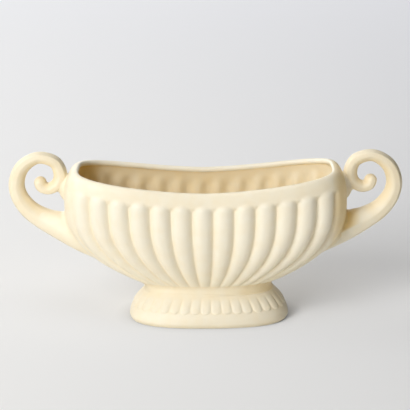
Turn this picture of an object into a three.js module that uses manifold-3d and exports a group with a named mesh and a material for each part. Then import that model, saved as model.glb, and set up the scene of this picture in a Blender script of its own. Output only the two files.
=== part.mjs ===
// Mantel vase: a long oval bowl with convex ribs and a dipped rim, on a low reeded foot,
// with a C-scroll handle luted to each end.
// Millimetres. The vase stands on z = 0 with its length along X, and +Z is up.
import * as THREE from "three";
import { mergeVertices } from "three/addons/utils/BufferGeometryUtils.js";
import Module from "manifold-3d";

const wasm = await Module();
wasm.setup();

// Bowl, on the mean surface of its wall, from which ribs rise and grooves sink.
const BELLY_HALF_LENGTH = 118;
const BELLY_HALF_DEPTH = 50;
const BELLY_SQUARENESS = 3.2;
const BELLY_MIDDLE_Z = 94;
const BELLY_END_Z = 100;
const WAIST_HALF_LENGTH = 52;
const WAIST_HALF_DEPTH = 23.5;
const WAIST_SQUARENESS = 2.4;
const UNDERSIDE_FULLNESS = 2.4;
const WALL = 5;

// Rim: the crest of the lip, lowest half way along the bowl.
const RIM_HALF_LENGTH = 107.3;
const RIM_HALF_DEPTH = 44.5;
const RIM_SQUARENESS = 3.68;
const RIM_MIDDLE_Z = 118.3;
const RIM_END_Z = 130;
const RIM_SWEEP = 1.6;
const COLLAR_ROUNDNESS = 2.4;

// Ribs round the bowl. A whole number of them is spread evenly round it at every height.
const RIB_COUNT = 34;
const RIB_HEIGHT = 3.4;
const RIB_FULLNESS = 2.2;
const RIB_SINK = 0.55;
const RIB_SHIFT = 0.22;
const RIB_FOOT_FADE = 0.12;
const COLLAR_HEIGHT = 8.5;
const RIB_TOP_ARCH = 3;
const RIB_TOP_FADE = 6;
const HOLLOW_DEPTH = 2.2;

// Foot, from the floor to the slip bed under the bowl. It stands a little towards the right handle.
const FOOT_HEIGHT = 28.4;
const FOOT_HALF_LENGTH = 65.3;
const FOOT_HALF_DEPTH = 38;
const FOOT_SQUARENESS = 2.65;
const FOOT_SHIFT = 2.2;
const FOOT_BAND_HEIGHT = 11.6;
const FOOT_BAND_BULGE = 2.1;
const FOOT_RING_WIDTH = 7;
const FOOT_DECK = 6.4;
const FOOT_HOLLOW_DRAW = 11;
const REED_COUNT = 38;
const REED_HEIGHT = 0.9;
const REED_LENGTH = 12;
const REED_WIDTH_SHARE = 0.88;
const REED_EDGE_SHARE = 0.2;
const REED_FADE_SHARE = 0.5;

// Handles. The scroll is drawn from the bowl's end and from the rim's end height.
const HANDLE_REACH = 47;
const HANDLE_HEIGHT = 79;
const HANDLE_RISE = 14;
const STRAP_HALF_WIDTH = 6.8;
const STRAP_HALF_DEPTH = 7.4;
const WEB_HALF_DEPTH = 4.6;

// Slip: the clay cream that lutes the castings together, and the clearance round it.
const SLIP_THICKNESS = 1.2;
const SLIP_BEAD = 0.7;
const SEAM_GAP = 0.32;

// Facets.
const COLUMNS_PER_RIB = 4;
const HOLLOW_COLUMNS = 48;
const HOLLOW_OVERCUT = 2;
const HANDLE_RINGS = 44;
const SMALL = 1e-4;

const WAIST_Z = FOOT_HEIGHT + SLIP_THICKNESS;

const creamGlaze = new THREE.MeshStandardMaterial({ color: 0xf2e6c8, roughness: 0.55, metalness: 0 });
const warmGlaze = new THREE.MeshStandardMaterial({ color: 0xecdcb8, roughness: 0.6, metalness: 0 });

const mix = (a, b, share) => a + (b - a) * share;

const clamp01 = (value) => Math.min(1, Math.max(0, value));

const smooth = (value) => {
  const u = clamp01(value);
  return u * u * (3 - 2 * u);
};

// A point of the unit superellipse in the direction of an angle.
function superellipse(angle, squareness) {
  const c = Math.cos(angle);
  const s = Math.sin(angle);
  const reach = (Math.abs(c) ** squareness + Math.abs(s) ** squareness) ** (-1 / squareness);
  return new THREE.Vector2(c * reach, s * reach);
}

// Angles that split an oval into equal steps along its edge, as a function of the share of the way round.
function evenAngles(halfLength, halfDepth, squareness) {
  const samples = 2880;
  const angles = [0];
  const lengths = [0];
  let last = superellipse(0, squareness);
  for (let i = 1; i <= samples; i++) {
    const angle = (i / samples) * 2 * Math.PI;
    const next = superellipse(angle, squareness);
    const step = Math.hypot((next.x - last.x) * halfLength, (next.y - last.y) * halfDepth);
    angles.push(angle);
    lengths.push(lengths[i - 1] + step);
    last = next;
  }
  const total = lengths[samples];
  return (share) => {
    const turns = Math.floor(share);
    const wanted = (share - turns) * total;
    let low = 0;
    let high = samples;
    while (high - low > 1) {
      const half = (low + high) >> 1;
      if (lengths[half] <= wanted) low = half;
      else high = half;
    }
    const part = (wanted - lengths[low]) / (lengths[high] - lengths[low]);
    return mix(angles[low], angles[high], part) + turns * 2 * Math.PI;
  };
}

// A solid from rings of points that run anticlockwise seen from above, each end closed by a fan.
function loft(rings) {
  const count = rings[0].length;
  const vertices = rings.flat().flatMap((p) => [p.x, p.y, p.z]);
  const triangles = [];
  for (let i = 0; i < rings.length - 1; i++) {
    for (let j = 0; j < count; j++) {
      const k = (j + 1) % count;
      const a = i * count + j;
      const b = i * count + k;
      const c = (i + 1) * count + k;
      const d = (i + 1) * count + j;
      triangles.push(a, b, c, a, c, d);
    }
  }
  const closeEnd = (ring, start, forward) => {
    const centre = new THREE.Vector3();
    for (const p of ring) centre.addScaledVector(p, 1 / count);
    const middle = vertices.length / 3;
    vertices.push(centre.x, centre.y, centre.z);
    for (let j = 0; j < count; j++) {
      const k = (j + 1) % count;
      if (forward) triangles.push(middle, start + j, start + k);
      else triangles.push(middle, start + k, start + j);
    }
  };
  closeEnd(rings[0], 0, false);
  closeEnd(rings[rings.length - 1], (rings.length - 1) * count, true);
  return new wasm.Manifold(
    new wasm.Mesh({
      numProp: 3,
      vertProperties: new Float32Array(vertices),
      triVerts: new Uint32Array(triangles),
    })
  );
}

// A three.js geometry as a solid.
function solidOf(geometry) {
  const bare = geometry.clone();
  bare.deleteAttribute("normal");
  bare.deleteAttribute("uv");
  const merged = mergeVertices(bare, SMALL);
  return new wasm.Manifold(
    new wasm.Mesh({
      numProp: 3,
      vertProperties: new Float32Array(merged.attributes.position.array),
      triVerts: new Uint32Array(merged.index.array),
    })
  );
}

// The largest body of a cut, without the crumbs that a cut through ribs can leave.
function mainBody(solid) {
  const bodies = solid.decompose();
  return bodies.reduce((best, next) => (next.volume() > best.volume() ? next : best));
}

function meshOf(solid, name, material) {
  const made = solid.getMesh();
  const geometry = new THREE.BufferGeometry();
  geometry.setAttribute("position", new THREE.BufferAttribute(made.vertProperties, 3));
  geometry.setIndex(new THREE.BufferAttribute(made.triVerts, 1));
  geometry.computeVertexNormals();
  const mesh = new THREE.Mesh(geometry, material);
  mesh.name = name;
  return mesh;
}

// Height of a line that dips half way along the bowl and rises towards its ends.
const saddle = (middle, end, alongShare) => middle + (end - middle) * Math.abs(alongShare) ** RIM_SWEEP;

// The oval of the bowl wall's mean surface. A level of 0 is the waist, 1 the belly and 2 the crest of the
// lip. The drop runs from the belly down to the waist, and the climb from the belly up to the crest.
function wallOval(level) {
  if (level <= 1) {
    const drop = 1 - level;
    const draw = drop ** UNDERSIDE_FULLNESS;
    return {
      halfLength: mix(BELLY_HALF_LENGTH, WAIST_HALF_LENGTH, draw),
      halfDepth: mix(BELLY_HALF_DEPTH, WAIST_HALF_DEPTH, draw),
      squareness: mix(BELLY_SQUARENESS, WAIST_SQUARENESS, drop),
      drop,
      climb: 0,
    };
  }
  const turn = superellipse(((level - 1) * Math.PI) / 2, COLLAR_ROUNDNESS);
  return {
    halfLength: mix(RIM_HALF_LENGTH, BELLY_HALF_LENGTH, turn.x),
    halfDepth: mix(RIM_HALF_DEPTH, BELLY_HALF_DEPTH, turn.x),
    squareness: mix(BELLY_SQUARENESS, RIM_SQUARENESS, turn.y),
    drop: 0,
    climb: turn.y,
  };
}

// A point of the mean surface.
function wallPoint(angle, level) {
  const oval = wallOval(level);
  const plan = superellipse(angle, oval.squareness);
  const bellyZ = saddle(BELLY_MIDDLE_Z, BELLY_END_Z, superellipse(angle, BELLY_SQUARENESS).x);
  const rimZ = saddle(RIM_MIDDLE_Z, RIM_END_Z, superellipse(angle, RIM_SQUARENESS).x);
  return new THREE.Vector3(
    plan.x * oval.halfLength,
    plan.y * oval.halfDepth,
    mix(mix(bellyZ, rimZ, oval.climb), WAIST_Z, oval.drop)
  );
}

// The outward normal of the mean surface.
function wallNormal(angle, level) {
  const around = wallPoint(angle + SMALL, level).sub(wallPoint(angle - SMALL, level));
  const up = wallPoint(angle, Math.max(level + SMALL, SMALL)).sub(wallPoint(angle, level - SMALL));
  return around.cross(up).normalize();
}

// The columns round the bowl at a level, evenly spaced along its edge there. Each has its angle and its
// place across its own rib, from -0.5 to 0.5.
function columnsAt(level) {
  const oval = wallOval(level);
  const angleAt = evenAngles(oval.halfLength, oval.halfDepth, oval.squareness);
  const columns = [];
  for (let rib = 0; rib < RIB_COUNT; rib++) {
    for (let i = 0; i < COLUMNS_PER_RIB; i++) {
      const across = i / COLUMNS_PER_RIB - 0.5;
      columns.push({ angle: angleAt((rib + across + RIB_SHIFT) / RIB_COUNT), across });
    }
  }
  return columns;
}

// How much of a rib is left at a height: all of it on the wall, none on the plain collar.
function ribShare(column, point) {
  const along = superellipse(column.angle, RIM_SQUARENESS).x;
  const collarZ = saddle(RIM_MIDDLE_Z, RIM_END_Z, along) - COLLAR_HEIGHT;
  const archZ = collarZ - RIB_TOP_ARCH * (2 * column.across) ** 2;
  return smooth((archZ - point.z) / RIB_TOP_FADE);
}

// Ribs draw in with the bowl: their height keeps its proportion to the bowl's length at each level, and
// they run out to nothing just above the waist.
const ribTaper = (level) =>
  Math.min(1, wallOval(level).halfLength / BELLY_HALF_LENGTH) * smooth(level / RIB_FOOT_FADE);

function outerRing(level, lift) {
  return columnsAt(level).map((column) => {
    const point = wallPoint(column.angle, level);
    const crown = 1 - Math.abs(2 * column.across) ** RIB_FULLNESS - RIB_SINK;
    const rib = RIB_HEIGHT * crown * ribShare(column, point) * ribTaper(level);
    return point.addScaledVector(wallNormal(column.angle, level), rib + lift);
  });
}

function innerRing(level) {
  return columnsAt(level).map((column) => {
    const point = wallPoint(column.angle, level);
    const hollow = (HOLLOW_DEPTH / 2) * Math.cos(2 * Math.PI * column.across);
    const depth = hollow * ribShare(column, point) * ribTaper(level) - WALL;
    return point.addScaledVector(wallNormal(column.angle, level), depth);
  });
}

// The lip is the wall's rounded end. A turn of 0 is its crest, 1 its underside.
function lipRing(turn) {
  const radius = WALL / 2;
  return columnsAt(2).map((column) => {
    const crest = wallPoint(column.angle, 2);
    const ahead = wallPoint(column.angle + SMALL, 2).sub(wallPoint(column.angle - SMALL, 2));
    const inward = new THREE.Vector3(-ahead.y, ahead.x, 0).normalize();
    const angle = turn * Math.PI;
    crest.z += radius * (Math.cos(angle) - 1);
    return crest.addScaledVector(inward, radius * Math.sin(angle));
  });
}

const UNDERSIDE_LEVELS = [0, 0.07, 0.16, 0.27, 0.38, 0.52, 0.68, 0.84, 1];
const COLLAR_LEVELS = [1.14, 1.26, 1.35, 1.45, 1.57, 1.73, 1.88, 2];
const OUTER_LEVELS = [...UNDERSIDE_LEVELS, ...COLLAR_LEVELS];
const INNER_LEVELS = [2, 1.8, 1.5, 1.3, 1, 0.7, 0.4, 0.18, 0];
const LIP_TURNS = [0.26, 0.5, 0.74];

function flattenRing(ring, z) {
  for (const point of ring) point.z = z;
  return ring;
}

function makeBowl() {
  const outer = OUTER_LEVELS.map((level) => outerRing(level, 0));
  flattenRing(outer[0], WAIST_Z);
  const lip = LIP_TURNS.map(lipRing);
  const inner = INNER_LEVELS.map(innerRing);
  return loft([...outer, ...lip, ...inner]);
}

// The bowl's outside as a plain block, grown by a distance: what is luted to the bowl is cut to it.
function bowlBlock(grow) {
  return loft(OUTER_LEVELS.map((level) => outerRing(level, grow)));
}

// The foot's outside: how far its edge lies beyond the floor line at a height, as a round band under a cove.
function makeFootEdge() {
  const coveDraw = FOOT_HALF_LENGTH - WAIST_HALF_LENGTH;
  const coveRise = FOOT_HEIGHT - FOOT_BAND_HEIGHT;
  const curve = new THREE.SplineCurve([
    new THREE.Vector2(0, 0),
    new THREE.Vector2(FOOT_BAND_BULGE, FOOT_BAND_HEIGHT * 0.26),
    new THREE.Vector2(FOOT_BAND_BULGE * 0.6, FOOT_BAND_HEIGHT * 0.66),
    new THREE.Vector2(-coveDraw * 0.06, FOOT_BAND_HEIGHT),
    new THREE.Vector2(-coveDraw * 0.4, FOOT_BAND_HEIGHT + coveRise * 0.4),
    new THREE.Vector2(-coveDraw * 0.75, FOOT_BAND_HEIGHT + coveRise * 0.74),
    new THREE.Vector2(-coveDraw, FOOT_HEIGHT),
  ]);
  const samples = curve.getPoints(240);
  return (z) => {
    const above = samples.findIndex((p) => p.y >= z);
    if (above <= 0) return samples[above < 0 ? samples.length - 1 : 0].x;
    const low = samples[above - 1];
    const high = samples[above];
    return mix(low.x, high.x, (z - low.y) / (high.y - low.y));
  };
}

const footEdge = makeFootEdge();

// Reeds stand on the cove, evenly along its edge, with round lower ends, and fade out upwards.
const REED_BASE_Z = FOOT_BAND_HEIGHT;
const REED_TOP_Z = FOOT_BAND_HEIGHT + REED_LENGTH;
const reedAngle = evenAngles(FOOT_HALF_LENGTH, FOOT_HALF_DEPTH, FOOT_SQUARENESS);

const footColumns = [];
for (let reed = 0; reed < REED_COUNT; reed++) {
  const half = REED_WIDTH_SHARE / 2;
  for (const across of [-half, REED_EDGE_SHARE - half, half - REED_EDGE_SHARE, half]) {
    const onTop = Math.abs(across) < half;
    footColumns.push({ angle: reedAngle((reed + across) / REED_COUNT), onTop });
  }
}

function reedLift(onTop, z) {
  if (!onTop) return 0;
  const above = smooth((z - REED_BASE_Z) / REED_HEIGHT);
  const below = smooth((REED_TOP_Z - z) / (REED_LENGTH * REED_FADE_SHARE));
  return REED_HEIGHT * above * below;
}

function ovalPoint(angle, outset, z) {
  const plan = superellipse(angle, FOOT_SQUARENESS);
  const along = plan.x * (FOOT_HALF_LENGTH + outset);
  const across = plan.y * (FOOT_HALF_DEPTH + outset);
  return new THREE.Vector3(FOOT_SHIFT + along, across, z);
}

function makeFoot() {
  const heights = [
    0,
    FOOT_BAND_HEIGHT * 0.26,
    FOOT_BAND_HEIGHT * 0.66,
    REED_BASE_Z,
    REED_BASE_Z + REED_HEIGHT,
    REED_BASE_Z + REED_LENGTH * 0.45,
    REED_BASE_Z + REED_LENGTH * 0.75,
    REED_TOP_Z,
    FOOT_HEIGHT,
  ];
  const rings = heights.map((z) =>
    footColumns.map((column) => ovalPoint(column.angle, footEdge(z) + reedLift(column.onTop, z), z))
  );
  const ceiling = FOOT_HEIGHT - FOOT_DECK;
  const hollow = [0, 0.35, 0.7, 0.93, 1].map((share) => {
    const inset = FOOT_RING_WIDTH + FOOT_HOLLOW_DRAW * (1 - Math.sqrt(1 - share * share));
    const z = share === 0 ? -HOLLOW_OVERCUT : ceiling * share;
    const ring = [];
    for (let i = 0; i < HOLLOW_COLUMNS; i++) {
      ring.push(ovalPoint(reedAngle(i / HOLLOW_COLUMNS), -inset, z));
    }
    return ring;
  });
  return loft(rings).subtract(loft(hollow));
}

// The bed of slip between bowl and foot has the waist's outline.
function makeFootSlip() {
  const ring = (z) =>
    footColumns
      .filter((column) => column.onTop)
      .map((column) => ovalPoint(column.angle, footEdge(FOOT_HEIGHT), z));
  return loft([ring(FOOT_HEIGHT), ring(WAIST_Z)]);
}

// Where the strap lies against the bowl's end. All but the level are shares of the strap's section: how far
// its keel stands off the wall, and its size.
function rootStation(level, standOffShare, widthShare, depthShare) {
  const halfWidth = STRAP_HALF_WIDTH * widthShare;
  const halfDepth = STRAP_HALF_DEPTH * depthShare;
  const centreOff = STRAP_HALF_WIDTH * standOffShare - halfWidth;
  const point = wallPoint(0, level).addScaledVector(wallNormal(0, level), centreOff);
  return { x: point.x, z: point.z, halfWidth, halfDepth };
}

// A place on the free scroll: shares of the handle's reach and height, and of the strap's section.
function scrollStation(out, up, widthShare, depthShare) {
  return {
    x: BELLY_HALF_LENGTH + HANDLE_REACH * out,
    z: RIM_END_Z + HANDLE_RISE + HANDLE_HEIGHT * (up - 1),
    halfWidth: STRAP_HALF_WIDTH * widthShare,
    halfDepth: STRAP_HALF_DEPTH * depthShare,
  };
}

// From the keel on the bowl's end, out and up, over the top, back to the bowl and into the curl.
const stations = [
  rootStation(0.2, -0.44, 0.735, 0.81),
  rootStation(0.34, 0.12, 1.1, 1.216),
  rootStation(0.47, 0.735, 1.545, 1.42),
  scrollStation(0.09, 0.18, 1.7, 1.5),
  scrollStation(0.35, 0.25, 1.4, 1.34),
  scrollStation(0.565, 0.327, 1.22, 1.22),
  scrollStation(0.715, 0.417, 1.12, 1.12),
  scrollStation(0.82, 0.525, 1.04, 1.05),
  scrollStation(0.853, 0.665, 0.98, 1),
  scrollStation(0.74, 0.832, 0.88, 0.95),
  scrollStation(0.455, 0.932, 0.73, 0.9),
  scrollStation(0.165, 0.877, 0.72, 0.86),
  scrollStation(0.088, 0.744, 0.68, 0.84),
  scrollStation(0.148, 0.64, 0.69, 0.84),
  scrollStation(0.29, 0.595, 0.73, 0.84),
  scrollStation(0.405, 0.622, 0.78, 0.84),
  scrollStation(0.432, 0.66, 0.78, 0.84),
];

const strapPath = new THREE.CatmullRomCurve3(stations.map((s) => new THREE.Vector3(s.x, 0, s.z)));
const strapSize = new THREE.CatmullRomCurve3(
  stations.map((s) => new THREE.Vector3(s.halfWidth, s.halfDepth, 0))
);

// Half of the strap's section, from its outer edge to its inner edge: shares of the half width and half
// depth. Its crest lies nearer the outer edge, and its inner flank is the long one.
const STRAP_SECTION = [
  [1, 0.46],
  [0.66, 0.88],
  [0.2, 1],
  [-0.55, 0.8],
  [-1, 0.42],
];

// The strap as a solid on one side of the bowl, grown all round by a distance.
function makeStrap(side, grow) {
  const outline = [];
  for (const [out, deep] of STRAP_SECTION) outline.push([out, deep]);
  for (const [out, deep] of [...STRAP_SECTION].reverse()) outline.push([out, -deep]);
  if (side < 0) outline.reverse();
  const ringAt = (centre, tangent, halfWidth, halfDepth) =>
    outline.map(
      ([out, deep]) =>
        new THREE.Vector3(
          side * (centre.x + tangent.z * out * halfWidth),
          deep * halfDepth,
          centre.z - tangent.x * out * halfWidth
        )
    );
  const rings = [];
  for (let i = 0; i <= HANDLE_RINGS; i++) {
    const share = i / HANDLE_RINGS;
    const size = strapSize.getPoint(share);
    rings.push(
      ringAt(strapPath.getPoint(share), strapPath.getTangent(share), size.x + grow, size.y + grow)
    );
  }
  const end = strapPath.getPoint(1);
  const ahead = strapPath.getTangent(1);
  const last = strapSize.getPoint(1);
  for (const turn of [0.2, 0.36, 0.47]) {
    const reach = Math.sin(turn * Math.PI) * last.x;
    const shrink = Math.cos(turn * Math.PI);
    rings.push(
      ringAt(
        end.clone().addScaledVector(ahead, reach + grow * Math.sin(turn * Math.PI)),
        ahead,
        last.x * shrink + grow,
        last.y * shrink + grow
      )
    );
  }
  return loft(rings);
}

// The side outline of the upper joint: it fills the corner between bowl wall and scroll, with a hollow
// lower edge, and runs up between them to the notch beside the rim.
function makeWeb(side) {
  const at = (out, up) => {
    const place = scrollStation(out, up, 1, 1);
    return new THREE.Vector2(side * place.x, place.z);
  };
  const inside = -0.2;
  const foot = at(0.035, 0.465);
  const hollow = at(0.06, 0.53);
  const tip = at(0.27, 0.538);
  const shape = new THREE.Shape();
  const start = at(inside, 0.465);
  shape.moveTo(start.x, start.y);
  shape.lineTo(foot.x, foot.y);
  shape.quadraticCurveTo(hollow.x, hollow.y, tip.x, tip.y);
  for (const [out, up] of [
    [0.27, 0.6],
    [0.148, 0.64],
    [0.088, 0.744],
    [0.1, 0.8],
    [inside, 0.8],
  ]) {
    const corner = at(out, up);
    shape.lineTo(corner.x, corner.y);
  }
  const geometry = new THREE.ExtrudeGeometry(shape, {
    depth: 2 * WEB_HALF_DEPTH,
    bevelEnabled: false,
    curveSegments: 6,
  });
  geometry.translate(0, 0, -WEB_HALF_DEPTH);
  geometry.rotateX(Math.PI / 2);
  return solidOf(geometry);
}

const jointDepth = SEAM_GAP + SLIP_THICKNESS + SEAM_GAP;
const nearBlock = bowlBlock(SEAM_GAP);
const slipBlock = bowlBlock(SEAM_GAP + SLIP_THICKNESS);
const farBlock = bowlBlock(jointDepth);

function makeHandle(side) {
  return mainBody(makeStrap(side, 0).subtract(farBlock));
}

// The lower joint is a pad of slip under the strap's root, squeezed out a little round its edge.
function makeLowerSlip(side) {
  const squeezed = makeStrap(side, SLIP_BEAD);
  return mainBody(squeezed.intersect(slipBlock).subtract(nearBlock).subtract(upperHalfSpace(side)));
}

// What lies above the handle's gap on one side: the upper joint's part of the bowl wall.
function upperHalfSpace(side) {
  const split = scrollStation(0, 0.42, 1, 1);
  const block = new THREE.BoxGeometry(2 * HANDLE_REACH, 4 * BELLY_HALF_DEPTH, HANDLE_HEIGHT);
  block.translate(side * split.x, 0, split.z + HANDLE_HEIGHT / 2);
  return solidOf(block);
}

function makeUpperSlip(side) {
  return mainBody(makeWeb(side).subtract(nearBlock).subtract(makeStrap(side, SEAM_GAP)));
}

const vase = new THREE.Group();
vase.add(meshOf(makeBowl(), "bowl", creamGlaze));
vase.add(meshOf(makeFoot(), "foot", creamGlaze));
vase.add(meshOf(makeFootSlip(), "foot_slip_joint", warmGlaze));
for (const [side, word] of [
  [-1, "left"],
  [1, "right"],
]) {
  vase.add(meshOf(makeHandle(side), word + "_handle", creamGlaze));
  vase.add(meshOf(makeUpperSlip(side), word + "_handle_upper_slip_joint", warmGlaze));
  vase.add(meshOf(makeLowerSlip(side), word + "_handle_lower_slip_joint", warmGlaze));
}

export default vase;
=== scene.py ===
"""Mantel vase: a long oval bowl with convex ribs and a dipped rim, a low reeded foot and two scroll
handles, cast in earthenware, luted together with slip and covered with a matt cream glaze.

Metres. The vase stands on the floor with its length along X, and is seen from -Y."""

import math

import bmesh
import bpy
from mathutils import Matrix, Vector
from mathutils.geometry import intersect_line_line
from mathutils.kdtree import KDTree


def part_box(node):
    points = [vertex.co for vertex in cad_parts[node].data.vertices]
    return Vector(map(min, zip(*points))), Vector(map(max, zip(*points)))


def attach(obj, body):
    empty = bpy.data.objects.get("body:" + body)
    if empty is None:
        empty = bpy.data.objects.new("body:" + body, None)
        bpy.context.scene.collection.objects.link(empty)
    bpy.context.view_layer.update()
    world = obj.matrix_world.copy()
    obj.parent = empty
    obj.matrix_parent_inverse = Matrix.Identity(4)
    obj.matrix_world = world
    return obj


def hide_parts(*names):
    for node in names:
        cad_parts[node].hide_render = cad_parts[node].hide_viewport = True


bl_info = {
    "name": "Mantel Vase",
    "version": (1, 0, 0),
    "blender": (4, 5, 0),
    "location": "3D View > Sidebar > Vase",
    "description": "Models a glazed, ribbed mantel vase with scroll handles",
    "category": "Object",
}

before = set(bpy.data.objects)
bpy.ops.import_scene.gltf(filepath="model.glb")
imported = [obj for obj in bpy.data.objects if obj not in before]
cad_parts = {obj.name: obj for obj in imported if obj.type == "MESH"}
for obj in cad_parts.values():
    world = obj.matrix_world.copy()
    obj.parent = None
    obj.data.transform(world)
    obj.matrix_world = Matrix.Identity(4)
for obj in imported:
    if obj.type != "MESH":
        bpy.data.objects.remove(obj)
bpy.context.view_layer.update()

# A handle's side along X, and its word.
SIDES = ((-1, "left"), (1, "right"))

# A small step of angle, level or share, over which a slope is taken.
STEP = 1e-4

# A seam's points that lie within 0.04 mm are merged.
SEAM = 0.00004

# How deep the glaze has pooled, from 0 where it lies even to 1. The same mix also paints shade into the
# glaze, in corners, inside and under the lip, and deeper beside the right handle, whose end is turned from
# the light; it is left low where a highlight is painted.
# Here and below, a pair is for the left side (-1) and the right side (1).
COLLAR_POOL = 0.16
LIP_TONE_AND_SHADE = 0.05
# Pooled glaze at the waist, with painted shade under the bowl's overhang.
WAIST_POOL_AND_SHADE = 0.24
# Painted shade inside the bowl, deeper under the lip and at the left end, which the light does not reach.
INSIDE_SHADE = 0.45
UNDER_LIP_SHADE = 0.3
LEFT_END_SHADE = 0.5
BAND_POOL = 0.13
REED_GAP_POOL = 0.22
UNDERSIDE_POOL = 0.3
JOINT_POOL = 0.2
STRAP_POOL = 0.26
INNER_FLANK_TONE = 0.18
# Painted shade at the bowl's ends, deep on the right end, which is turned from the light.
END_SHADE = {-1: 0.16, 1: 0.65}
# Painted shade in the valley under each handle's root, deep on the right.
ROOT_SHADE = {-1: 0.3, 1: 0.95}

# Slip wiped over the ribs' ends beside a handle: the share of the half length where it starts, and the
# share over which it covers them.
RIB_WIPE = {-1: (0.84, 0.12), 1: (0.9, 0.05)}

# The slip round a handle's root: how much wider the root spreads into the bowl, how far and with how many
# strokes it is smoothed, and its pool, which on the right is deep painted shade in the valley under the
# bowl's end. On the left it is wiped wide, and on the right the corner is left.
ROOT_WIPE = {-1: (1.0, 0.02, 200, 0.17), 1: (0.0, 0.006, 25, 0.85)}


# Sizes


class VaseBowlSizes(bpy.types.PropertyGroup):
    """The bowl: its mean wall surface, its rim and its ribs"""

    half_length: bpy.props.FloatProperty(
        name="Half length", description="Half of the belly's length", default=0.118, unit="LENGTH",
        precision=4)
    half_depth: bpy.props.FloatProperty(
        name="Half depth", description="Half of the belly's depth", default=0.05, unit="LENGTH",
        precision=4)
    squareness: bpy.props.FloatProperty(
        name="Squareness", description="How square the belly's oval is; 2 is an ellipse", default=3.2)
    middle_z: bpy.props.FloatProperty(
        name="Belly height, middle", description="Height of the widest line half way along", default=0.094,
        unit="LENGTH", precision=4)
    end_z: bpy.props.FloatProperty(
        name="Belly height, ends", description="Height of the widest line at the ends", default=0.1,
        unit="LENGTH", precision=4)
    waist_half_length: bpy.props.FloatProperty(
        name="Waist half length", description="Half of the length where the bowl meets the foot",
        default=0.052, unit="LENGTH", precision=4)
    waist_half_depth: bpy.props.FloatProperty(
        name="Waist half depth", description="Half of the depth where the bowl meets the foot",
        default=0.0235, unit="LENGTH", precision=4)
    waist_squareness: bpy.props.FloatProperty(
        name="Waist squareness", description="How square the waist's oval is", default=2.4)
    fullness: bpy.props.FloatProperty(
        name="Underside fullness", description="How full the bowl is between waist and belly", default=2.4)
    wall: bpy.props.FloatProperty(
        name="Wall", description="Thickness of the cast wall", default=0.005, unit="LENGTH", precision=4)
    end_wall: bpy.props.FloatProperty(
        name="Wall at the ends", description="Thickness of the lip and the wall at the bowl's ends",
        default=0.0034, unit="LENGTH", precision=4)
    rim_half_length: bpy.props.FloatProperty(
        name="Rim half length", description="Half of the length of the lip's crest", default=0.1073,
        unit="LENGTH", precision=4)
    rim_half_depth: bpy.props.FloatProperty(
        name="Rim half depth", description="Half of the depth of the lip's crest", default=0.0445,
        unit="LENGTH", precision=4)
    rim_squareness: bpy.props.FloatProperty(
        name="Rim squareness", description="How square the lip's oval is", default=3.68)
    rim_middle_z: bpy.props.FloatProperty(
        name="Rim height, middle", description="Height of the lip half way along", default=0.1183,
        unit="LENGTH", precision=4)
    rim_end_z: bpy.props.FloatProperty(
        name="Rim height, ends", description="Height of the lip at the ends", default=0.13,
        unit="LENGTH", precision=4)
    rim_sweep: bpy.props.FloatProperty(
        name="Rim sweep", description="How late the rim rises towards its ends", default=1.6)
    collar_roundness: bpy.props.FloatProperty(
        name="Collar roundness", description="How full the turn from belly to lip is", default=2.4)
    rib_count: bpy.props.IntProperty(name="Ribs", description="Ribs round the whole bowl", default=34)
    rib_height: bpy.props.FloatProperty(
        name="Rib height", description="From a groove to the crown of a rib", default=0.004,
        unit="LENGTH", precision=4)
    rib_fullness: bpy.props.FloatProperty(
        name="Rib fullness", description="How full a rib's section is", default=2.5)
    rib_sink: bpy.props.FloatProperty(
        name="Rib sink", description="Share of the rib's height that is cut into the wall", default=0.55,
        subtype="FACTOR")
    rib_shift: bpy.props.FloatProperty(
        name="Rib shift", description="Where the first rib stands, in ribs from the right end",
        default=0.37)
    rib_foot_fade: bpy.props.FloatProperty(
        name="Rib foot fade", description="Share of the underside over which ribs rise from the waist",
        default=0.12, subtype="FACTOR")
    groove_softness: bpy.props.FloatProperty(
        name="Groove softness", description="Rounding at the bottom of a groove, as a share of half a rib",
        default=0.13, subtype="FACTOR")
    collar_height: bpy.props.FloatProperty(
        name="Collar height", description="Plain band between lip and ribs", default=0.0085,
        unit="LENGTH", precision=4)
    rib_arch: bpy.props.FloatProperty(
        name="Rib arch", description="How far a rib's top is arched", default=0.003, unit="LENGTH",
        precision=4)
    rib_fade: bpy.props.FloatProperty(
        name="Rib fade", description="Height over which a rib's top rises from the collar", default=0.006,
        unit="LENGTH", precision=4)
    hollow_depth: bpy.props.FloatProperty(
        name="Hollow depth", description="Depth of the soft hollows behind the ribs", default=0.0034,
        unit="LENGTH", precision=4)


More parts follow.
